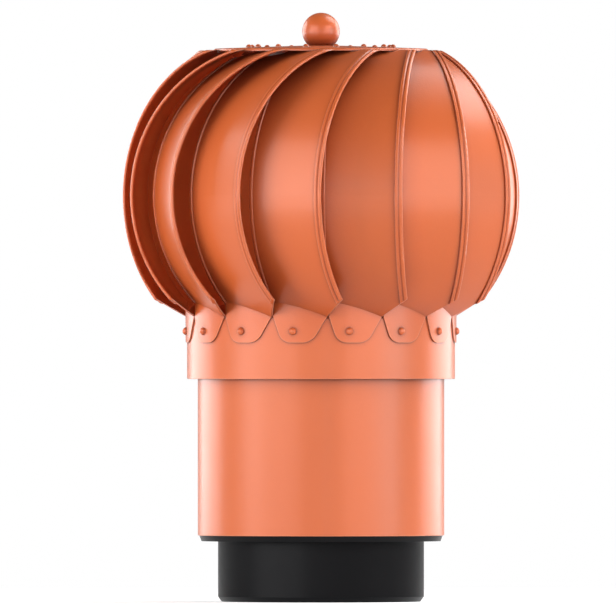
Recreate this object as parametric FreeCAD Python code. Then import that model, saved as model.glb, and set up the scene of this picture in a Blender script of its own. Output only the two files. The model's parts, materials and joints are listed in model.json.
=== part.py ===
import FreeCAD, Part

import math
import os

from FreeCAD import Vector

# Rotating chimney cowl. Millimetres, +Z up, origin at the centre of the spigot's lower end.
# Angles round the axis are counted from the front (-Y) towards +X.

# Spigot adapter
spigot_diameter = 125.0
spigot_length = 36.7
spigot_wall = 3.0
spigot_bevel_height = 3.0
spigot_bevel_inset = 2.2
flange_diameter = 147.6
flange_thickness = 3.4
flange_inset = 1.2
neck_height = 15.0
neck_wall = 3.0
neck_clearance = 0.1

# Fixed tube
tube_diameter = 149.6
tube_wall = 0.8
tube_height = 110.0
edge_round = 0.35

# Collar
collar_diameter = 162.6
collar_wall = 0.8
collar_height = 37.0
collar_overlap = 15.0

# Vanes
vane_count = 15
vane_sheet = 0.9
vane_edge_radius = 120.6
vane_roll_radius = 92.0
vane_skew = 31.5
vane_taper = 3.5
vane_width = 49.0
strip_turn_up = 80.0
strip_turn_down = 60.0
hem_width = 4.8
hem_rise = 1.1
hem_edge_round = 0.95
hem_step_round = 0.5
hem_groove_station = 2.4
hem_groove_width = 1.4
hem_groove_depth = 0.5
hem_groove_round = 0.5
rear_hem_width = 2.3
rear_hem_rise = 0.7
rear_hem_round = 0.7
rear_step_round = 0.5
free_corner_rise = 4.0
free_corner_round = 1.8
seat_clearance = 0.05

# Lower tabs, riveted to the collar
tab_left_angle = -20.6
tab_right_angle = 2.4
tab_rivet_angle = -12.0
tab_rivet_rise = 7.0
tab_fold_rise = 15.0
tab_shoulder_rise = 8.5
tab_foot_left = 7.0
tab_foot_right = 11.3
tab_round_left = 8.0
tab_round_right = 10.0
tab_edge_round = 0.3

# Upper tabs, riveted under the cap
top_tab_angle = 12.0
top_tab_half_angle = 11.4
top_tab_inner_radius = 38.0
top_tab_round = 3.0
rear_notch_station = 33.0
rear_notch_depth = 1.5
rear_slant_drop = 3.0

# Top cap
cap_radius = 65.0
cap_sheet = 0.8
cap_cone_rise = 1.8
cap_flat_radius = 14.0
cap_lip_drop = 1.9
cap_bend_radius = 1.2
lip_station = 14.2
lip_gap = 0.4
free_top_gap = 1.0

# Rivets
rivet_shank_diameter = 3.0
rivet_hole_clearance = 0.1
rivet_tail_diameter = 4.4
rivet_tail_height = 0.9
collar_rivet_head_diameter = 4.8
collar_rivet_head_height = 2.3
cap_rivet_edge_distance = 6.0
cap_rivet_head_diameter = 3.8
cap_rivet_head_height = 1.8
spider_rivet_head_diameter = 5.6
spider_rivet_head_height = 1.5
spider_rivet_offset = 6.0
drill_reserve = 5.0

# Ball knob
knob_diameter = 22.8
knob_seat_diameter = 14.8
knob_grip = 10.0

# Axle with its nuts and washers
axle_diameter = 8.0
axle_chamfer = 0.8
axle_end_reserve = 2.5
axle_clearance = 0.02
nut_width = 13.0
nut_height = 6.5
nut_sides = 6
nut_bevel_angle = 30.0
washer_diameter = 16.0
washer_thickness = 1.6
thrust_washer_diameter = 11.6
bolt_clearance = 0.1

# Ball bearings
bearing_bore_clearance = 0.02
bearing_diameter = 22.0
bearing_width = 7.0
bearing_pitch_diameter = 15.0
ball_diameter = 3.97
ball_count = 7
ball_clearance = 0.06
race_gap = 2.6
race_chamfer = 0.3
cage_side_gap = 0.4
cage_height = 5.2
shield_thickness = 0.3
shield_inset = 0.3
shield_gap = 0.3

# Bearing housing
bearing_spacing = 16.0
housing_wall = 4.0
housing_step = 1.7
housing_flange_diameter = 46.0
housing_flange_thickness = 3.0
housing_lip = 0.5
housing_tail = 3.0
housing_screw_circle_radius = 18.5
housing_screw_count = 3
housing_screw_diameter = 4.0
housing_screw_head_diameter = 7.0
housing_screw_head_height = 2.4
housing_nut_width = 7.0
housing_nut_height = 3.2
screw_end_reserve = 1.0
ring_thickness = 1.0
ring_groove_depth = 0.6
ring_width = 2.0
ring_opening = 7.0
ring_clearance = 0.05

# Spiders
spider_arm_count = 3
spider_sheet = 1.5
base_spider_hub_diameter = 54.0
base_spider_arm_width = 20.0
base_spider_tab_height = 13.0
base_spider_tab_rivet_rise = 8.0
base_spider_drop = 16.0
rotor_spider_hub_diameter = 36.0
rotor_spider_arm_width = 18.0
rotor_spider_tab_below = 6.0
rotor_spider_tab_above = 6.0

# Values worked out from the sizes above
origin = Vector(0, 0, 0)
up = Vector(0, 0, 1)
vane_pitch = 360.0 / vane_count
arm_pitch = 360.0 / spider_arm_count
spigot_radius = spigot_diameter / 2
flange_radius = flange_diameter / 2
tube_radius = tube_diameter / 2
tube_inner_radius = tube_radius - tube_wall
collar_radius = collar_diameter / 2
collar_inner_radius = collar_radius - collar_wall
tube_bottom = spigot_length + flange_thickness
tube_top = tube_bottom + tube_height
collar_bottom = tube_top - collar_overlap
collar_top = collar_bottom + collar_height
tab_inner_radius = collar_radius + seat_clearance
tab_outer_radius = tab_inner_radius + vane_sheet
tab_foot = collar_top - tab_fold_rise
tab_rivet_height = tab_foot + tab_rivet_rise
skew = math.radians(vane_skew)
vane_out = Vector(-math.sin(skew), -math.cos(skew), 0)
vane_along = Vector(-math.cos(skew), math.sin(skew), 0)
vane_edge_point = Vector(0, -vane_edge_radius, 0)
vane_axis_point = vane_edge_point - vane_out * vane_roll_radius
vane_flare = math.tan(math.radians(vane_taper))
cap_rivet_circle_radius = top_tab_inner_radius + cap_rivet_edge_distance


def front_point(radius, angle, height):
    """A point at a radius and an angle from the front."""
    turn = math.radians(angle)
    return Vector(radius * math.sin(turn), -radius * math.cos(turn), height)


def vane_reach(station, radius):
    """Distance out from the roll axis at which a station of the strip crosses a radius."""
    base = vane_axis_point + vane_along * station
    across = base.dot(vane_out)
    return -across + math.sqrt(across ** 2 - base.dot(base) + radius ** 2)


def roll_radius(station):
    """Radius of the strip's outer face about the roll axis; it grows towards the rear edge."""
    return vane_roll_radius + vane_flare * station


def vane_drop(station, reach):
    """Height of the strip's outer face above or below the roll axis at a station and a reach."""
    return math.sqrt(roll_radius(station) ** 2 - reach ** 2)


def station_at(point):
    """Station along the strip's width of a point."""
    return (point - vane_axis_point).dot(vane_along)


def drop_at(point):
    """Height of the strip's outer face above or below the roll axis over a point."""
    return vane_drop(station_at(point), (point - vane_axis_point).dot(vane_out))


# The roll axis is as high above the collar as puts the fold of the lower tab at its height
fold_height = collar_top + tab_fold_rise / 2
fold_point = front_point(tab_outer_radius, tab_rivet_angle, 0)
equator = fold_height + drop_at(fold_point)
apex_point = front_point(tab_outer_radius, tab_right_angle, 0)
apex_station = station_at(apex_point)
apex_height = equator - drop_at(apex_point)
free_corner_height = fold_height + free_corner_rise

# The cap is as high as lets the strip pass under its lip at the lip station
lip_inner_radius = cap_radius - cap_sheet
lip_bottom = equator + vane_drop(lip_station, vane_reach(lip_station, cap_radius)) + lip_gap
cap_rim_top = lip_bottom + cap_lip_drop
cap_top = cap_rim_top + cap_cone_rise
cap_underside = cap_top - cap_sheet
free_top_height = cap_rim_top - free_top_gap

# Heights of what turns on the axle
rotor_plate_bottom = tab_rivet_height - rotor_spider_tab_below
rotor_plate_top = rotor_plate_bottom + spider_sheet
base_plate_top = tube_top - base_spider_drop + spider_sheet
base_plate_bottom = base_plate_top - spider_sheet
housing_top = base_plate_top + housing_flange_thickness
upper_bearing_top = housing_top - housing_lip
upper_bearing_bottom = upper_bearing_top - bearing_width
lower_bearing_top = upper_bearing_bottom - bearing_spacing
lower_bearing_bottom = lower_bearing_top - bearing_width
housing_bottom = lower_bearing_bottom - ring_thickness - housing_tail
housing_radius = bearing_diameter / 2 + housing_wall
knob_radius = knob_diameter / 2
knob_seat_radius = knob_seat_diameter / 2
knob_middle = cap_top + math.sqrt(knob_radius ** 2 - knob_seat_radius ** 2)
axle_radius = axle_diameter / 2
lower_nut_bottom = lower_bearing_bottom - washer_thickness - nut_height
axle_bottom = lower_nut_bottom - axle_end_reserve
axle_top = cap_top + knob_grip


# Helpers

def rounded_wire(corners, place):
    """A closed wire through corners (u, v, radius); place turns (u, v) into a point."""
    edges = []
    ends = []
    count = len(corners)
    for index in range(count):
        corner = Vector(corners[index][0], corners[index][1], 0)
        radius = corners[index][2]
        before = Vector(*corners[index - 1][:2], 0) - corner
        after = Vector(*corners[(index + 1) % count][:2], 0) - corner
        before.normalize()
        after.normalize()
        half = before.getAngle(after) / 2
        if radius == 0:
            ends.append((corner, corner, corner))
            continue
        tangent = radius / math.tan(half)
        bisector = before + after
        bisector.normalize()
        middle = corner + bisector * (radius / math.sin(half) - radius)
        ends.append((corner + before * tangent, middle, corner + after * tangent))
    for index in range(count):
        start, middle, end = [place(point.x, point.y) for point in ends[index]]
        if corners[index][2] != 0:
            edges.append(Part.Arc(start, middle, end).toShape())
        following = ends[(index + 1) % count][0]
        edges.append(Part.makeLine(end, place(following.x, following.y)))
    return Part.Wire(edges)


def rounded_face(corners, place):
    return Part.Face(rounded_wire(corners, place))


def turned(corners):
    """A ring turned about the axis from corners (radius, height, corner radius)."""
    section = rounded_face(corners, lambda radius, height: Vector(radius, 0, height))
    return section.revolve(origin, up, 360)


def cylinder(radius, bottom, top, centre=origin):
    return Part.makeCylinder(radius, top - bottom, Vector(centre.x, centre.y, bottom))


def tube(inner, outer, bottom, top):
    return cylinder(outer, bottom, top).cut(cylinder(inner, bottom, top))


def spun(shape, angle):
    """A copy turned about the axis from the front to an angle."""
    copy = shape.copy()
    copy.rotate(origin, up, angle)
    return copy


def front_box(width, near_radius, far_radius, bottom, top):
    """A box centred on the front direction, between two distances from the axis."""
    depth = far_radius - near_radius
    return Part.makeBox(width, depth, top - bottom, Vector(-width / 2, -far_radius, bottom))


def front_rod(radius, near_radius, far_radius, height, offset=0.0):
    """A round rod that points to the front, between two distances from the axis."""
    start = Vector(offset, -near_radius, height)
    return Part.makeCylinder(radius, far_radius - near_radius, start, Vector(0, -1, 0))


def dome(diameter, height):
    """A rivet's domed head, standing on the XY plane."""
    radius = diameter / 2
    ball_radius = (radius ** 2 + height ** 2) / (2 * height)
    ball = Part.makeSphere(ball_radius, Vector(0, 0, height - ball_radius))
    return ball.common(cylinder(radius, 0, height))


def rivet(head_diameter, head_height, grip):
    """A closed rivet along +Z: head above z = 0, grip below it, then the formed tail."""
    head = dome(head_diameter, head_height)
    shank = cylinder(rivet_shank_diameter / 2, -grip, 0)
    tail = cylinder(rivet_tail_diameter / 2, -grip - rivet_tail_height, -grip)
    return head.fuse([shank, tail]).removeSplitter()


def pointed_outwards(shape, radius, angle, height, offset=0.0):
    """A shape made along +Z, laid over to point outwards from a place on a cylinder."""
    copy = shape.copy()
    copy.rotate(origin, Vector(1, 0, 0), 90)
    copy.translate(Vector(offset, -radius, height))
    return spun(copy, angle)


def group(shapes):
    return Part.makeCompound(shapes)


rivet_hole_radius = rivet_shank_diameter / 2 + rivet_hole_clearance


# Spigot adapter and fixed tube

def spigot_adapter():
    inner = spigot_radius - spigot_wall
    neck_radius = tube_inner_radius - neck_clearance
    neck_inner = neck_radius - neck_wall
    flange_top = tube_bottom
    slope_top = spigot_length + (neck_inner - inner)
    return turned([
        (inner, 0, 0),
        (spigot_radius - spigot_bevel_inset, 0, 0),
        (spigot_radius, spigot_bevel_height, 0),
        (spigot_radius, spigot_length, 0),
        (flange_radius - flange_inset, spigot_length, 0),
        (flange_radius, flange_top, 0),
        (neck_radius, flange_top, 0),
        (neck_radius, flange_top + neck_height, 0),
        (neck_inner, flange_top + neck_height, 0),
        (neck_inner, slope_top, 0),
        (inner, spigot_length, 0),
    ])


def sheet_ring(radius, wall, bottom, top):
    """A plain sheet ring with softened outer edges."""
    return turned([
        (radius - wall, bottom, 0),
        (radius, bottom, edge_round),
        (radius, top, edge_round),
        (radius - wall, top, 0),
    ])


def fixed_tube():
    ring = sheet_ring(tube_radius, tube_wall, tube_bottom, tube_top)
    return ring.cut(group(base_spider_rivet_holes()))


def collar():
    ring = sheet_ring(collar_radius, collar_wall, collar_bottom, collar_top)
    near = collar_inner_radius - collar_wall
    hole = front_rod(rivet_hole_radius, near, tab_outer_radius, tab_rivet_height)
    holes = [spun(hole, tab_rivet_angle + vane_pitch * index) for index in range(vane_count)]
    return ring.cut(group(holes))


# Vanes

def strip_place(station, rise):
    """A point of the strip's section, level with the roll axis, at a rise over its outer face."""
    return vane_axis_point + vane_along * station + vane_out * (roll_radius(station) + rise) + up * equator


def vane_strip():
    """The rolled strip, its outer edge with a grooved hem and its rear edge with a plain one."""
    rear_step = vane_width - rear_hem_width
    groove_start = hem_groove_station - hem_groove_width / 2
    groove_end = hem_groove_station + hem_groove_width / 2
    section = rounded_face([
        (0, -vane_sheet, hem_edge_round),
        (vane_width, -vane_sheet, 0),
        (vane_width, rear_hem_rise, rear_hem_round),
        (rear_step, rear_hem_rise, rear_step_round),
        (rear_step, 0, 0),
        (hem_width, 0, 0),
        (hem_width, hem_rise, hem_step_round),
        (groove_end, hem_rise, hem_groove_round),
        (hem_groove_station, hem_rise - hem_groove_depth, 0),
        (groove_start, hem_rise, hem_groove_round),
        (0, hem_rise, hem_edge_round),
    ], strip_place)
    axis_start = vane_axis_point + up * equator
    upper = section.revolve(axis_start, vane_along, strip_turn_up)
    return upper.fuse(section.revolve(axis_start, vane_along, -strip_turn_down))


def vane_outline():
    """The strip's flat outline, seen along its level normal and carried through it."""
    low = apex_height - tab_fold_rise
    rear = vane_width + hem_width
    high = cap_top + cap_sheet
    notch = cap_rim_top - cap_lip_drop - rear_notch_depth
    outline = rounded_face([
        (0, free_corner_height, free_corner_round),
        (0, free_top_height, free_corner_round),
        (lip_station, free_top_height, 0),
        (lip_station, high, 0),
        (rear_notch_station, high, 0),
        (rear_notch_station, notch, 0),
        (rear, notch - rear_slant_drop, 0),
        (rear, low, 0),
        (apex_station, low, 0),
        (apex_station, apex_height, 0),
    ], lambda station, height: vane_axis_point + vane_along * station + up * height)
    return outline.extrude(vane_out * (vane_roll_radius + hem_width))


def inside_of_vane(rise):
    """Everything inside the strip's rolled form, at a rise over its outer face."""
    ends = (-vane_width, vane_width + vane_width)
    start, end = [vane_axis_point + vane_along * station + up * equator for station in ends]
    first, last = [roll_radius(station) + rise for station in ends]
    return Part.makeCone(first, last, start.distanceToPoint(end), start, vane_along)


def cone_height(radius):
    """Height of the cap's underside at a radius."""
    share = (radius - cap_flat_radius) / (cap_radius - cap_flat_radius)
    return cap_underside - cap_cone_rise * share


def softened(tab):
    """A lower tab with its outer edges rounded, all but the one in the fold."""
    edges = []
    for edge in tab.Edges:
        middle = edge.valueAt((edge.FirstParameter + edge.LastParameter) / 2)
        on_face = abs(math.hypot(middle.x, middle.y) - tab_outer_radius) < seat_clearance
        if on_face and middle.z < equator - seat_clearance:
            edges.append(edge)
    return tab.makeFillet(tab_edge_round, edges)


def lower_tab():
    """The tab that lies on the collar, up to the fold."""
    shell = tube(tab_inner_radius, tab_outer_radius, tab_foot, equator)
    left = tab_outer_radius * math.sin(math.radians(tab_left_angle - tab_rivet_angle))
    right = tab_outer_radius * math.sin(math.radians(tab_right_angle - tab_rivet_angle))
    shoulder = tab_foot + tab_rivet_rise + tab_shoulder_rise
    outline = rounded_face([
        (-tab_foot_left, tab_foot, tab_round_left),
        (tab_foot_right, tab_foot, tab_round_right),
        (right, shoulder, 0),
        (right, equator, 0),
        (left, equator, 0),
        (left, shoulder, 0),
    ], lambda side, height: Vector(side, 0, height))
    patch = outline.extrude(Vector(0, -vane_edge_radius, 0))
    tab = softened(shell.common(spun(patch, tab_rivet_angle)))
    return tab.cut(inside_of_vane(-vane_sheet))


def upper_tab():
    """The tab that lies under the cap, up to the fold."""
    outer = lip_inner_radius - lip_gap
    top_inner = cone_height(top_tab_inner_radius) - seat_clearance
    top_outer = cone_height(outer) - seat_clearance
    shell = turned([
        (top_tab_inner_radius, top_inner, 0),
        (outer, top_outer, 0),
        (outer, top_outer - vane_sheet, 0),
        (top_tab_inner_radius, top_inner - vane_sheet, 0),
    ])
    flare = math.tan(math.radians(top_tab_half_angle))
    outline = rounded_face([
        (-flare * top_tab_inner_radius, -top_tab_inner_radius, top_tab_round),
        (-flare * cap_radius, -cap_radius, 0),
        (flare * cap_radius, -cap_radius, 0),
        (flare * top_tab_inner_radius, -top_tab_inner_radius, top_tab_round),
    ], lambda side, depth: Vector(side, depth, equator))
    patch = outline.extrude(Vector(0, 0, vane_roll_radius))
    return shell.common(spun(patch, top_tab_angle)).common(inside_of_vane(0))


def cap_rivet_hole():
    return cylinder(rivet_hole_radius, equator, cap_top, Vector(0, -cap_rivet_circle_radius, 0))


def above_upper_tab():
    """The space over the upper tab, and round the lip, which the strip keeps out of."""
    outer = lip_inner_radius - lip_gap
    ring_outer = cap_radius + lip_gap
    ring_bottom = lip_bottom - lip_gap
    high = cap_top + cap_sheet + cap_sheet
    return turned([
        (0, cap_underside, 0),
        (cap_flat_radius, cap_underside - seat_clearance, 0),
        (outer, cone_height(outer) - seat_clearance, 0),
        (outer, ring_bottom, 0),
        (ring_outer, ring_bottom, 0),
        (ring_outer, high, 0),
        (0, high, 0),
    ])


def vane():
    """One vane at the front: the strip and its two tabs, folded from one sheet."""
    strip = vane_strip().common(vane_outline())
    strip = strip.cut(cylinder(tab_inner_radius, collar_bottom, equator))
    strip = strip.cut(above_upper_tab())
    body = strip.fuse([lower_tab(), upper_tab()]).removeSplitter()
    collar_hole = front_rod(rivet_hole_radius, collar_radius, vane_edge_radius, tab_rivet_height)
    body = body.cut(group([spun(collar_hole, tab_rivet_angle), spun(cap_rivet_hole(), top_tab_angle)]))
    return max(body.Solids, key=lambda solid: solid.Volume)


# Top cap and knob

def top_cap():
    rim_inner = cap_radius - cap_sheet
    cap = turned([
        (axle_radius + bolt_clearance, cap_underside, 0),
        (cap_flat_radius, cap_underside, 0),
        (rim_inner, cone_height(rim_inner), 0),
        (rim_inner, lip_bottom, 0),
        (cap_radius, lip_bottom, edge_round),
        (cap_radius, cap_rim_top, cap_bend_radius),
        (cap_flat_radius, cap_top, 0),
        (axle_radius + bolt_clearance, cap_top, 0),
    ])
    holes = [spun(cap_rivet_hole(), top_tab_angle + vane_pitch * index) for index in range(vane_count)]
    return cap.cut(group(holes))


def ball_knob():
    ball = Part.makeSphere(knob_radius, Vector(0, 0, knob_middle))
    below = cylinder(knob_radius, knob_middle - knob_radius, cap_top)
    hole = cylinder(axle_radius + axle_clearance, cap_top, axle_top + axle_chamfer)
    return ball.cut(group([below, hole]))


# Rivets

def flat_seat(radius, reach):
    """How far out a flat face sits inside a cylinder when it spans to a reach off centre."""
    return math.sqrt(radius ** 2 - reach ** 2)


def collar_rivets():
    seat = tab_outer_radius
    rivets = []
    for index in range(vane_count):
        held_by_spider = index % (vane_count // spider_arm_count) == 0
        inner = rotor_tab_inner_radius() if held_by_spider else collar_inner_radius
        grip = seat - flat_seat(inner, rivet_tail_diameter / 2)
        piece = rivet(collar_rivet_head_diameter, collar_rivet_head_height, grip)
        angle = tab_rivet_angle + vane_pitch * index
        rivets.append(pointed_outwards(piece, seat, angle, tab_rivet_height))
    return group(rivets)


def cap_rivets():
    slope = cap_cone_rise / (cap_radius - cap_flat_radius)
    sink = slope * rivet_tail_diameter / 2
    seat = cone_height(cap_rivet_circle_radius) + cap_sheet + slope * cap_rivet_head_diameter / 2
    tab_underside = cone_height(cap_rivet_circle_radius) - seat_clearance - vane_sheet
    piece = rivet(cap_rivet_head_diameter, cap_rivet_head_height, seat - tab_underside + sink)
    piece.translate(Vector(0, -cap_rivet_circle_radius, seat))
    return group([spun(piece, top_tab_angle + vane_pitch * index) for index in range(vane_count)])


def base_spider_rivet_places():
    """Angle and sideways offset of each rivet that holds the base spider in the tube."""
    sides = (-spider_rivet_offset, spider_rivet_offset)
    return [(arm_pitch * arm, side) for arm in range(spider_arm_count) for side in sides]


def base_spider_rivet_height():
    return base_plate_bottom + base_spider_tab_rivet_rise


def base_spider_rivet_holes():
    height = base_spider_rivet_height()
    near = tube_inner_radius - drill_reserve
    holes = []
    for angle, side in base_spider_rivet_places():
        hole = front_rod(rivet_hole_radius, near, collar_inner_radius, height, side)
        holes.append(spun(hole, angle))
    return holes


def base_spider_rivets():
    """Rivets with their heads outside the tube, where the collar covers them."""
    tab_face = tube_inner_radius - seat_clearance - spider_sheet
    tail_seat = flat_seat(tab_face, spider_rivet_offset + rivet_tail_diameter / 2)
    head_seat = flat_seat(tube_radius, spider_rivet_offset - spider_rivet_head_diameter / 2)
    piece = rivet(spider_rivet_head_diameter, spider_rivet_head_height, head_seat - tail_seat)
    height = base_spider_rivet_height()
    places = base_spider_rivet_places()
    return group([pointed_outwards(piece, head_seat, angle, height, side) for angle, side in places])


# Spiders

def spider(reach, hub_diameter, arm_width, plate_bottom, tab_bottom, tab_top, bore_radius):
    """A flat three-armed plate whose arm ends are bent along a cylinder of radius reach."""
    plate_top = plate_bottom + spider_sheet
    hub = cylinder(hub_diameter / 2, plate_bottom, plate_top)
    arm = front_box(arm_width, 0, reach, plate_bottom, plate_top)
    tab = front_box(arm_width, reach / 2, reach, tab_bottom, tab_top)
    tab = tab.common(tube(reach - spider_sheet, reach, tab_bottom, tab_top))
    limb = arm.common(cylinder(reach, plate_bottom, plate_top)).fuse(tab)
    limbs = [spun(limb, arm_pitch * index) for index in range(spider_arm_count)]
    return hub.fuse(limbs).removeSplitter().cut(cylinder(bore_radius, plate_bottom, plate_top))


def base_spider():
    reach = tube_inner_radius - seat_clearance
    tab_top = base_plate_bottom + base_spider_tab_height
    body = spider(reach, base_spider_hub_diameter, base_spider_arm_width, base_plate_bottom,
                  base_plate_bottom, tab_top, housing_radius + bolt_clearance)
    return body.cut(group(base_spider_rivet_holes() + housing_screw_holes()))


def rotor_tab_inner_radius():
    return collar_inner_radius - seat_clearance - spider_sheet


def rotor_spider():
    reach = collar_inner_radius - seat_clearance
    tab_top = tab_rivet_height + rotor_spider_tab_above
    body = spider(reach, rotor_spider_hub_diameter, rotor_spider_arm_width, rotor_plate_bottom,
                  rotor_plate_bottom, tab_top, axle_radius + bolt_clearance)
    hole = front_rod(rivet_hole_radius, reach - drill_reserve, collar_radius, tab_rivet_height)
    body = body.cut(group([spun(hole, arm_pitch * index) for index in range(spider_arm_count)]))
    return spun(body, tab_rivet_angle)


# Bearing housing and its fasteners

def bearing_housing():
    bore = bearing_diameter / 2 + bearing_bore_clearance
    step = bearing_diameter / 2 - housing_step
    groove = bore + ring_groove_depth
    groove_top = lower_bearing_bottom
    groove_bottom = groove_top - ring_thickness - ring_clearance
    body = turned([
        (bore, housing_bottom, 0),
        (housing_radius, housing_bottom, edge_round),
        (housing_radius, base_plate_top, 0),
        (housing_flange_diameter / 2, base_plate_top, 0),
        (housing_flange_diameter / 2, housing_top, edge_round),
        (bore, housing_top, 0),
        (bore, upper_bearing_bottom, 0),
        (step, upper_bearing_bottom, 0),
        (step, lower_bearing_top, 0),
        (bore, lower_bearing_top, 0),
        (bore, groove_top, 0),
        (groove, groove_top, 0),
        (groove, groove_bottom, 0),
        (bore, groove_bottom, 0),
    ])
    return body.cut(group(housing_screw_holes()))


def housing_screw_turns():
    """Angles of the housing screws, midway between the spider's arms."""
    pitch = 360.0 / housing_screw_count
    return [pitch * (index + 0.5) for index in range(housing_screw_count)]


def housing_screw_holes():
    centre = Vector(0, -housing_screw_circle_radius, 0)
    radius = housing_screw_diameter / 2 + bolt_clearance
    hole = cylinder(radius, base_plate_bottom - spider_sheet, housing_top + spider_sheet, centre)
    return [spun(hole, angle) for angle in housing_screw_turns()]


def housing_screws():
    centre = Vector(0, -housing_screw_circle_radius, 0)
    low = base_plate_bottom - housing_nut_height - screw_end_reserve
    shank = cylinder(housing_screw_diameter / 2, low, housing_top, centre)
    head = dome(housing_screw_head_diameter, housing_screw_head_height)
    head.translate(Vector(0, -housing_screw_circle_radius, housing_top))
    screw = shank.fuse(head).removeSplitter()
    return group([spun(screw, angle) for angle in housing_screw_turns()])


def hex_nut(width, height, bore_radius):
    """A hexagon nut on the XY plane with its corners bevelled at both ends."""
    flat_turn = 2 * math.pi / nut_sides
    corner = width / 2 / math.cos(flat_turn / 2)
    points = []
    for index in range(nut_sides + 1):
        turn = flat_turn * index
        points.append(Vector(corner * math.cos(turn), corner * math.sin(turn), 0))
    prism = Part.Face(Part.makePolygon(points)).extrude(Vector(0, 0, height))
    inset = corner - width / 2
    bevel = inset * math.tan(math.radians(nut_bevel_angle))
    crown = turned([
        (0, 0, 0),
        (width / 2, 0, 0),
        (corner, bevel, 0),
        (corner, height - bevel, 0),
        (width / 2, height, 0),
        (0, height, 0),
    ])
    return prism.common(crown).cut(cylinder(bore_radius, 0, height))


def housing_nuts():
    nut = hex_nut(housing_nut_width, housing_nut_height, housing_screw_diameter / 2 + axle_clearance)
    nut.translate(Vector(0, -housing_screw_circle_radius, base_plate_bottom - housing_nut_height))
    return group([spun(nut, angle) for angle in housing_screw_turns()])


def retaining_ring():
    """The open spring ring that keeps the lower bearing in its housing."""
    outer = bearing_diameter / 2 + bearing_bore_clearance + ring_groove_depth - ring_clearance
    bottom = lower_bearing_bottom - ring_clearance / 2 - ring_thickness
    top = bottom + ring_thickness
    ring = tube(outer - ring_width, outer, bottom, top)
    return ring.cut(front_box(ring_opening, 0, outer + ring_width, bottom, top))


# Ball bearings

race_inner_radius = (bearing_pitch_diameter - race_gap) / 2
race_outer_radius = (bearing_pitch_diameter + race_gap) / 2


def ball_groove(middle):
    groove_radius = ball_diameter / 2 + ball_clearance
    return Part.makeTorus(bearing_pitch_diameter / 2, groove_radius, Vector(0, 0, middle))


def inner_race(bottom):
    top = bottom + bearing_width
    bore = axle_radius + axle_clearance
    race = turned([
        (bore, bottom, race_chamfer),
        (race_inner_radius, bottom, 0),
        (race_inner_radius, top, 0),
        (bore, top, race_chamfer),
    ])
    return race.cut(ball_groove(bottom + bearing_width / 2))


def outer_race(bottom):
    top = bottom + bearing_width
    race = turned([
        (race_outer_radius, bottom, 0),
        (bearing_diameter / 2, bottom, race_chamfer),
        (bearing_diameter / 2, top, race_chamfer),
        (race_outer_radius, top, 0),
    ])
    return race.cut(ball_groove(bottom + bearing_width / 2))


def cage(bottom):
    middle = bottom + bearing_width / 2
    ring = tube(race_inner_radius + cage_side_gap, race_outer_radius - cage_side_gap,
                middle - cage_height / 2, middle + cage_height / 2)
    pocket = front_rod(ball_diameter / 2 + ball_clearance, axle_radius, bearing_diameter / 2, middle)
    pitch = 360.0 / ball_count
    return ring.cut(group([spun(pocket, pitch * index) for index in range(ball_count)]))


def balls(bottom):
    middle = bottom + bearing_width / 2
    ball = Part.makeSphere(ball_diameter / 2, Vector(0, -bearing_pitch_diameter / 2, middle))
    pitch = 360.0 / ball_count
    return group([spun(ball, pitch * index) for index in range(ball_count)])


def shields(bottom):
    """The two thin discs that close a bearing, held by its outer race."""
    inner = race_inner_radius + shield_gap
    outer = race_outer_radius - bearing_bore_clearance
    low = bottom + shield_inset
    high = bottom + bearing_width - shield_inset
    return group([
        tube(inner, outer, low, low + shield_thickness),
        tube(inner, outer, high - shield_thickness, high),
    ])


# Axle, spacer, nuts and washers

def axle():
    return turned([
        (0, axle_bottom, 0),
        (axle_radius - axle_chamfer, axle_bottom, 0),
        (axle_radius, axle_bottom + axle_chamfer, 0),
        (axle_radius, axle_top - axle_chamfer, 0),
        (axle_radius - axle_chamfer, axle_top, 0),
        (0, axle_top, 0),
    ])


def inner_spacer():
    outer = thrust_washer_diameter / 2
    return tube(axle_radius + axle_clearance, outer, lower_bearing_top, upper_bearing_bottom)


def thrust_washers():
    """Narrow washers that press only on the inner races."""
    bore = axle_radius + axle_clearance
    outer = thrust_washer_diameter / 2
    return group([
        tube(bore, outer, lower_bearing_bottom - washer_thickness, lower_bearing_bottom),
        tube(bore, outer, upper_bearing_top, upper_bearing_top + washer_thickness),
    ])


def plate_washers():
    """Wide washers on the rotor spider's hub and under the cap."""
    bore = axle_radius + bolt_clearance
    outer = washer_diameter / 2
    bottoms = (rotor_plate_bottom - washer_thickness, rotor_plate_top, cap_underside - washer_thickness)
    return group([tube(bore, outer, bottom, bottom + washer_thickness) for bottom in bottoms])


def axle_nuts():
    nut = hex_nut(nut_width, nut_height, axle_radius + axle_clearance)
    bottoms = (
        lower_nut_bottom,
        upper_bearing_top + washer_thickness,
        rotor_plate_bottom - washer_thickness - nut_height,
        rotor_plate_top + washer_thickness,
        cap_underside - washer_thickness - nut_height,
    )
    return group([nut.translated(Vector(0, 0, bottom)) for bottom in bottoms])


# The whole cowl, one entry per node

pieces = {
    "spigot_adapter": spigot_adapter(),
    "fixed_tube": fixed_tube(),
    "base_spider": base_spider(),
    "base_spider_rivets": base_spider_rivets(),
    "bearing_housing": bearing_housing(),
    "housing_screws": housing_screws(),
    "housing_nuts": housing_nuts(),
    "retaining_ring": retaining_ring(),
    "collar": collar(),
    "collar_rivets": collar_rivets(),
    "top_cap": top_cap(),
    "cap_rivets": cap_rivets(),
    "ball_knob": ball_knob(),
    "rotor_spider": rotor_spider(),
    "axle": axle(),
    "inner_spacer": inner_spacer(),
    "axle_nuts": axle_nuts(),
    "thrust_washers": thrust_washers(),
    "plate_washers": plate_washers(),
}

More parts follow.
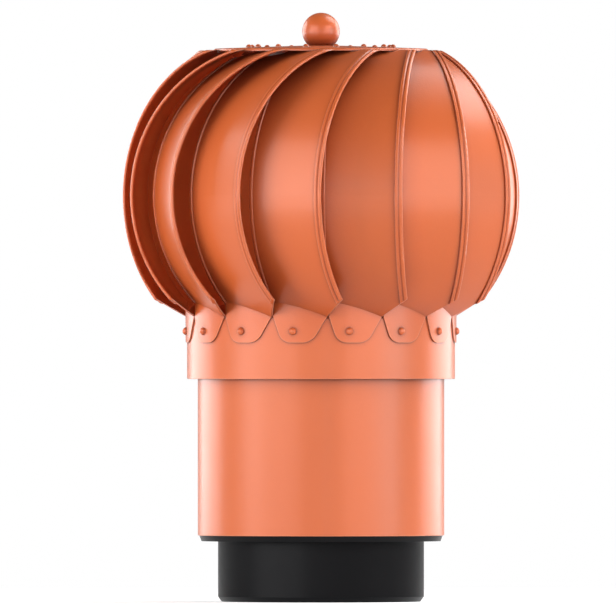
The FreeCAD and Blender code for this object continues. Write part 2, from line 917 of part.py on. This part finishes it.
for side, bearing_bottom in (("upper", upper_bearing_bottom), ("lower", lower_bearing_bottom)):
    pieces[side + "_bearing_outer_race"] = outer_race(bearing_bottom)
    pieces[side + "_bearing_inner_race"] = inner_race(bearing_bottom)
    pieces[side + "_bearing_shields"] = shields(bearing_bottom)
    pieces[side + "_bearing_cage"] = cage(bearing_bottom)
    pieces[side + "_bearing_balls"] = balls(bearing_bottom)

front_vane = vane()
for vane_index in range(vane_count):
    pieces["vane_%02d" % (vane_index + 1)] = spun(front_vane, vane_pitch * vane_index)

os.makedirs("parts", exist_ok=True)
for name, shape in pieces.items():
    shape.exportStep("parts/" + name + ".step")
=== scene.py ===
import json
import math

import bpy
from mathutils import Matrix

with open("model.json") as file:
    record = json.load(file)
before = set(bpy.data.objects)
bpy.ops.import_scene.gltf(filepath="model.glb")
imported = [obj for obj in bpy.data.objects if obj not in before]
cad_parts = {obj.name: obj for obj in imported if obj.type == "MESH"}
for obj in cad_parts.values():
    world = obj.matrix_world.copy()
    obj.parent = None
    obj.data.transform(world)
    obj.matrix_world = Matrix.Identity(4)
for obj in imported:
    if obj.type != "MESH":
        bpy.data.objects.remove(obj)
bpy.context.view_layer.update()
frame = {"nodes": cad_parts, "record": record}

nodes = frame["nodes"]

# Photograph's frame, in pixels of its 616 by 616 picture, and the scale found from the spigot
picture_size = 616
metres_per_pixel = 0.000607
axis_column = 321.0
floor_row = 601.5

# Camera: a long lens imitates the photograph's level, nearly parallel view
camera_lens = 1600.0
camera_sensor = 36.0
camera_reach = 100.0

# Lamps: angle from the camera's side, rise above level, distance, width, height, radiance and use. Those
# for gloss make the upright highlights and bright rims, and those for shading make the soft shadows.
lamps = {
    "left_key": (-46.5, 4.0, 1.6, 1.7, 2.0, 3.5, "gloss"),
    "right_key": (46.5, 4.0, 1.6, 1.7, 2.0, 3.7, "gloss"),
    "left_rim": (-128.0, 0.0, 1.7, 1.3, 1.9, 4.6, "gloss"),
    "right_rim": (128.0, 0.0, 1.7, 1.3, 1.9, 4.6, "gloss"),
    "front": (0.0, 0.0, 1.8, 0.8, 0.6, 5.3, "shading"),
    "left_main": (-70.0, -1.0, 1.6, 0.8, 0.7, 9.4, "shading"),
    "right_main": (70.0, 6.0, 1.6, 0.8, 0.9, 6.2, "shading"),
    "back": (122.0, 50.0, 1.7, 1.0, 1.0, 5.0, "both"),
}
lamp_centre = 0.25

# The plastic shows the left highlight alone, so these lamps pass it by
plastic_node = "spigot_adapter"
passing_lamps = ("left_rim", "right_rim", "right_key")

# Surroundings: the world's level to the camera, in reflections and as light, which fades with height
background_level = 1.0
gloss_level = 0.12
ambient_level = 0.95
ambient_fade = (0.20, 0.60)

# Floor: its white, its dullness as a source of bounced light, and the glow that grows to white far out
floor_size = 30.0
floor_white = 0.80
floor_bounce = 0.30
floor_roughness = 0.9
floor_glow = 0.60
floor_fade = (0.30, 0.85)

# Paint: its colours, and how far the painted highlight on edges and the painted shade in recesses
# and along seams reach. The painted seam shade fades out above the collar, where the vanes' hems are.
paint_colours = ((0.765, 0.154, 0.040), (0.815, 0.172, 0.046))
# The edge colour is a painted highlight, and the dark colour is the painted shade of recesses and seams
painted_edge_highlight = (0.930, 0.400, 0.250)
painted_shade_colour = (0.110, 0.010, 0.004)
edge_reach = 0.0006
edge_strength = 2.0
recess_reach = 0.022
recess_least = 0.1
seam_reach = 0.004
seam_shade_heights = (0.182, 0.192)
seam_shade_share = 0.85
openness_samples = 8


# Node helpers

class Shader:
    """A material's node tree with short calls for the nodes that the finishes use."""

    def __init__(self, name):
        self.material = bpy.data.materials.new(name)
        self.material.use_nodes = True
        self.tree = self.material.node_tree
        self.surface = self.tree.nodes["Principled BSDF"]
        self.place = self.tree.nodes.new("ShaderNodeTexCoord").outputs["Object"]

    def feed(self, socket, value):
        """Links an output to the socket, or sets its value, where a colour gets its alpha."""
        if isinstance(value, bpy.types.NodeSocket):
            self.tree.links.new(value, socket)
        elif isinstance(value, tuple):
            socket.default_value = (*value, 1.0)
        else:
            socket.default_value = value

    def node(self, kind, **inputs):
        """A new node; an underscore in an input's name stands for a space."""
        made = self.tree.nodes.new(kind)
        for key, value in inputs.items():
            self.feed(made.inputs[key.replace("_", " ")], value)
        return made

    def set(self, **inputs):
        """Sets inputs of the material's own shader."""
        for key, value in inputs.items():
            self.feed(self.surface.inputs[key.replace("_", " ")], value)

    def noise(self, scale, detail=4.0):
        made = self.node("ShaderNodeTexNoise", Vector=self.place, Scale=scale, Detail=detail)
        return made.outputs["Fac"]

    def openness(self, reach, inside=False):
        """1 on open faces and less in corners and seams, or, taken from inside, less at edges."""
        made = self.node("ShaderNodeAmbientOcclusion", Distance=reach)
        made.inside = inside
        made.samples = openness_samples
        return made.outputs["AO"]

    def span(self, value, low, high, start=0.0, end=1.0):
        """The value, which runs from start to end, brought to run from low to high."""
        made = self.node("ShaderNodeMapRange", Value=value, From_Min=start, From_Max=end, To_Min=low, To_Max=high)
        return made.outputs["Result"]

    def larger(self, first, second):
        made = self.node("ShaderNodeMath")
        made.operation = "MAXIMUM"
        self.feed(made.inputs[0], first)
        self.feed(made.inputs[1], second)
        return made.outputs[0]

    def blend(self, value, first, second):
        """The first colour where the value is 0, and the second where it is 1."""
        made = self.tree.nodes.new("ShaderNodeMix")
        made.data_type = "RGBA"
        self.feed(made.inputs["Factor"], value)
        self.feed(made.inputs["A"], first)
        self.feed(made.inputs["B"], second)
        return made.outputs["Result"]

    def choose(self, value, first, second):
        """The first shader where the value is 0, and the second where it is 1."""
        made = self.node("ShaderNodeMixShader", Fac=value)
        self.feed(made.inputs[1], first)
        self.feed(made.inputs[2], second)
        return made.outputs[0]

    def bump(self, height, distance):
        made = self.node("ShaderNodeBump", Height=height, Distance=distance)
        self.set(Normal=made.outputs["Normal"])


# Finishes

def terracotta_paint():
    """Satin powder coat: faint orange-peel, uneven colour and gloss, painted highlight on edges, painted shade in
    recesses and seams.
    """
    made = Shader("terracotta_paint")
    body = made.blend(made.noise(scale=14.0, detail=3.0), *paint_colours)
    # Painted highlight: edges lightened where their rounding would catch the lamps
    edges = made.span(made.openness(edge_reach, inside=True), low=edge_strength, high=0.0)
    body = made.blend(edges, body, painted_edge_highlight)
    # Painted shade: recesses darkened to a deep red-brown
    recesses = made.span(made.openness(recess_reach), low=recess_least, high=1.0)
    body = made.blend(recesses, painted_shade_colour, body)
    # Painted shade along seams and round the tabs, faded out above the collar where the hems are
    height = made.node("ShaderNodeSeparateXYZ", Vector=made.place).outputs["Z"]
    seam_shade_fade = made.span(height, 0.0, seam_shade_share, *seam_shade_heights)
    seams = made.larger(seam_shade_fade, made.openness(seam_reach))
    made.set(Base_Color=made.blend(seams, painted_shade_colour, body))
    made.set(Roughness=made.span(made.noise(scale=60.0), low=0.28, high=0.33))
    made.set(IOR=1.5)
    made.bump(made.noise(scale=900.0, detail=2.0), distance=0.00004)
    return made.material


def black_plastic():
    """Moulded plastic: nearly black, with a weak gloss that a fine grain breaks up."""
    made = Shader("black_plastic")
    drift = made.noise(scale=20.0, detail=3.0)
    made.set(Base_Color=made.blend(drift, (0.006, 0.006, 0.007), (0.010, 0.010, 0.011)))
    made.set(Roughness=made.span(made.noise(scale=150.0, detail=5.0), low=0.30, high=0.40))
    made.set(IOR=1.20)
    made.bump(made.noise(scale=2200.0, detail=3.0), distance=0.00003)
    return made.material


def zinc_steel():
    """Zinc plate: dull metal with a soft spangle."""
    made = Shader("zinc_steel")
    cells = made.node("ShaderNodeTexVoronoi", Vector=made.place, Scale=160.0)
    made.set(Base_Color=made.blend(cells.outputs["Color"], (0.50, 0.51, 0.52), (0.66, 0.67, 0.68)))
    made.set(Metallic=1.0)
    made.set(Roughness=made.span(made.noise(scale=220.0), low=0.30, high=0.46))
    return made.material


def bearing_steel():
    """Ground steel with faint lapping marks."""
    made = Shader("bearing_steel")
    marks = made.noise(scale=700.0, detail=5.0)
    made.set(Base_Color=made.blend(marks, (0.55, 0.55, 0.56), (0.68, 0.68, 0.69)))
    made.set(Metallic=1.0)
    made.set(Roughness=made.span(marks, low=0.16, high=0.26))
    return made.material


def turned_aluminium():
    """Turned metal: fine level grooves left by the lathe."""
    made = Shader("turned_aluminium")
    grooves = made.node("ShaderNodeTexWave", Vector=made.place, Scale=900.0)
    grooves.bands_direction = "Z"
    made.set(Base_Color=made.blend(made.noise(scale=40.0), (0.60, 0.60, 0.61), (0.70, 0.70, 0.71)))
    made.set(Metallic=1.0)
    made.set(Roughness=made.span(made.noise(scale=120.0), low=0.28, high=0.40))
    made.bump(grooves.outputs["Fac"], distance=0.00003)
    return made.material


def dress_nodes():
    """Gives every CAD node the finish of its slot in the record."""
    finishes = {
        "terracotta_paint": terracotta_paint(),
        "black_plastic": black_plastic(),
        "zinc_steel": zinc_steel(),
        "bearing_steel": bearing_steel(),
        "turned_aluminium": turned_aluminium(),
    }
    for entry in frame["record"]["subparts"]:
        mesh = nodes[entry["node"]].data
        mesh.materials.clear()
        mesh.materials.append(finishes[entry["material_slot"]])


# Stage, light and camera

def floor_material():
    """White to the camera and in reflections, under the part's shadow too, and duller to other rays."""
    made = Shader("floor_white")
    path = made.node("ShaderNodeLightPath")
    seen = made.larger(path.outputs["Is Camera Ray"], path.outputs["Is Glossy Ray"])
    made.set(Base_Color=made.blend(seen, (floor_bounce,) * 3, (floor_white,) * 3))
    made.set(Roughness=floor_roughness)
    matt = made.surface.outputs[0]
    near = made.node("ShaderNodeAddShader")
    made.feed(near.inputs[0], matt)
    made.feed(near.inputs[1], made.node("ShaderNodeEmission", Strength=floor_glow).outputs[0])
    distance = made.node("ShaderNodeVectorMath", Vector=made.place)
    distance.operation = "LENGTH"
    far = made.span(distance.outputs["Value"], 0.0, 1.0, *floor_fade)
    white = made.node("ShaderNodeEmission").outputs[0]
    shown = made.choose(seen, matt, made.choose(far, near.outputs[0], white))
    made.feed(made.tree.nodes["Material Output"].inputs["Surface"], shown)
    return made.material


def add_floor():
    half = floor_size / 2
    mesh = bpy.data.meshes.new("floor")
    corners = [(-half, -half, 0), (half, -half, 0), (half, half, 0), (-half, half, 0)]
    mesh.from_pydata(corners, [], [(0, 1, 2, 3)])
    mesh.materials.append(floor_material())
    floor = bpy.data.objects.new("floor", mesh)
    bpy.context.collection.objects.link(floor)


def add_world():
    """White to the camera; an even light from all sides but from above; dim in reflections."""
    world = bpy.data.worlds.new("studio")
    world.use_nodes = True
    bpy.context.scene.world = world
    tree = world.node_tree
    path = tree.nodes.new("ShaderNodeLightPath")
    place = tree.nodes.new("ShaderNodeTexCoord")
    way = tree.nodes.new("ShaderNodeSeparateXYZ")
    tree.links.new(place.outputs["Generated"], way.inputs[0])

    ambient = tree.nodes.new("ShaderNodeMapRange")
    tree.links.new(way.outputs["Z"], ambient.inputs["Value"])
    ambient.inputs["From Min"].default_value, ambient.inputs["From Max"].default_value = ambient_fade
    ambient.inputs["To Min"].default_value = ambient_level
    ambient.inputs["To Max"].default_value = 0.0

    level = ambient.outputs["Result"]
    for ray, strength in (("Is Glossy Ray", gloss_level), ("Is Camera Ray", background_level)):
        choice = tree.nodes.new("ShaderNodeMix")
        tree.links.new(path.outputs[ray], choice.inputs["Factor"])
        tree.links.new(level, choice.inputs["A"])
        choice.inputs["B"].default_value = strength
        level = choice.outputs["Result"]
    background = tree.nodes["Background"]
    background.inputs["Color"].default_value = (1.0, 1.0, 1.0, 1.0)
    tree.links.new(level, background.inputs["Strength"])


def add_lamp(name, angle, rise, distance, width, height, radiance):
    """A rectangular soft lamp that faces the middle of the object; angle 0 is the camera's side."""
    light = bpy.data.lights.new(name, "AREA")
    light.shape = "RECTANGLE"
    light.size, light.size_y = width, height
    light.energy = radiance * math.pi * width * height
    lamp = bpy.data.objects.new(name, light)
    turn, lift = math.radians(angle), math.radians(rise)
    level = distance * math.cos(lift)
    lamp.location = (level * math.sin(turn), -level * math.cos(turn), lamp_centre + distance * math.sin(lift))
    lamp.rotation_euler = (math.radians(90) - lift, 0, turn)
    bpy.context.collection.objects.link(lamp)
    return lamp


def add_lights():
    """The lamps, each for gloss, shading or both, with the plastic left out of some."""
    all_but_plastic = bpy.data.collections.new("all_but_plastic")
    all_but_plastic.objects.link(nodes[plastic_node])
    all_but_plastic.collection_objects[0].light_linking.link_state = "EXCLUDE"
    for name, (*place, use) in lamps.items():
        lamp = add_lamp(name, *place)
        lamp.visible_diffuse = use != "gloss"
        lamp.visible_glossy = use != "shading"
        if name in passing_lamps:
            lamp.light_linking.receiver_collection = all_but_plastic


def add_camera():
    """A level camera whose picture has the photograph's scale and framing."""
    data = bpy.data.cameras.new("camera")
    data.lens = camera_lens
    data.sensor_width = camera_sensor
    data.clip_end = camera_reach
    camera = bpy.data.objects.new("camera", data)
    distance = picture_size * metres_per_pixel * camera_lens / camera_sensor
    side = (picture_size / 2 - axis_column) * metres_per_pixel
    height = (floor_row - picture_size / 2) * metres_per_pixel
    camera.location = (side, -distance, height)
    camera.rotation_euler = (math.radians(90), 0, 0)
    bpy.context.collection.objects.link(camera)
    bpy.context.scene.camera = camera


dress_nodes()
add_floor()
add_world()
add_lights()
add_camera()
bpy.context.scene.view_settings.view_transform = "Standard"

bpy.context.view_layer.update()
